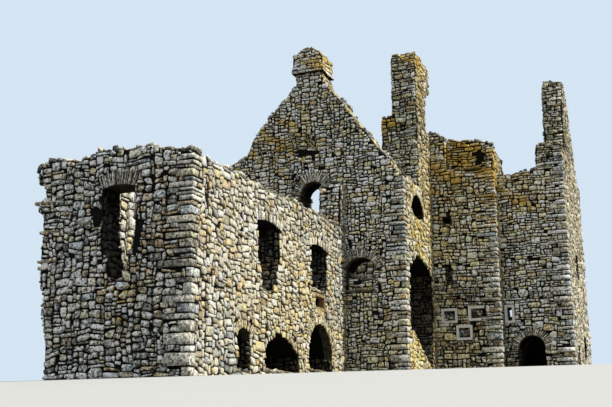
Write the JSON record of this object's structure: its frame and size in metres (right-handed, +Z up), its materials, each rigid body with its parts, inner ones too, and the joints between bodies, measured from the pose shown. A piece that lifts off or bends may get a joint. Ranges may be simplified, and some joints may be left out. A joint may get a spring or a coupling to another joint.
{
  "type": "ruined castle keep",
  "caption": "Ruined L-plan rubble-stone castle keep with a standing gable, tall chimney stacks, a square stair turret and a lower roofless wing.",
  "frame": {"origin": "centre of the plan at the flat base of the walls", "axes": "+Z up, +Y from the low wing's end wall towards the tower's back wall, +X towards the broken right gable"},
  "size_m": [16.6, 31.2, 18.2],
  "materials": {
    "rubble_grey": "rough",
    "rubble_buff": "rough",
    "lichened_stone": "rough",
    "dressed_stone": "tooled",
    "vault_stone": "rough"
  },
  "bodies": {
    "root": {"wing_end_wall": "rubble_grey", "wing_end_lintel": "dressed_stone", "wing_long_wall_ground": "rubble_buff", "wing_long_wall_upper": "rubble_buff", "wing_stub": "rubble_buff", "wing_left_wall": "rubble_grey", "wing_vault": "vault_stone", "wing_arch_ring": "dressed_stone", "wing_door_ring": "dressed_stone", "small_window_margin": "lichened_stone", "gable_wall": "rubble_grey", "gable_window_ring": "dressed_stone", "hall_window_ring": "dressed_stone", "hall_window_blocking": "rubble_grey", "roof_drip_course": "lichened_stone", "gable_chimney": "rubble_grey", "gable_chimney_head": "lichened_stone", "side_wall_ground": "rubble_buff", "side_wall_upper": "rubble_buff", "side_chimney": "rubble_buff", "side_chimney_head": "lichened_stone", "side_chimney_flue": "rubble_grey", "tower_left_wall": "rubble_grey", "tower_back_wall": "rubble_grey", "left_vault": "vault_stone", "back_vault": "vault_stone", "turret_front_wall": "rubble_grey", "turret_left_wall": "rubble_grey", "turret_right_wall": "rubble_buff", "turret_back_wall": "lichened_stone", "panel_frame_left": "dressed_stone", "panel_frame_right": "dressed_stone", "panel_frame_low": "dressed_stone", "block_front_wall": "rubble_grey", "cellar_arch_ring": "dressed_stone", "slit_margin": "dressed_stone", "right_gable_wall": "rubble_buff"}
  },
  "joints": []
}
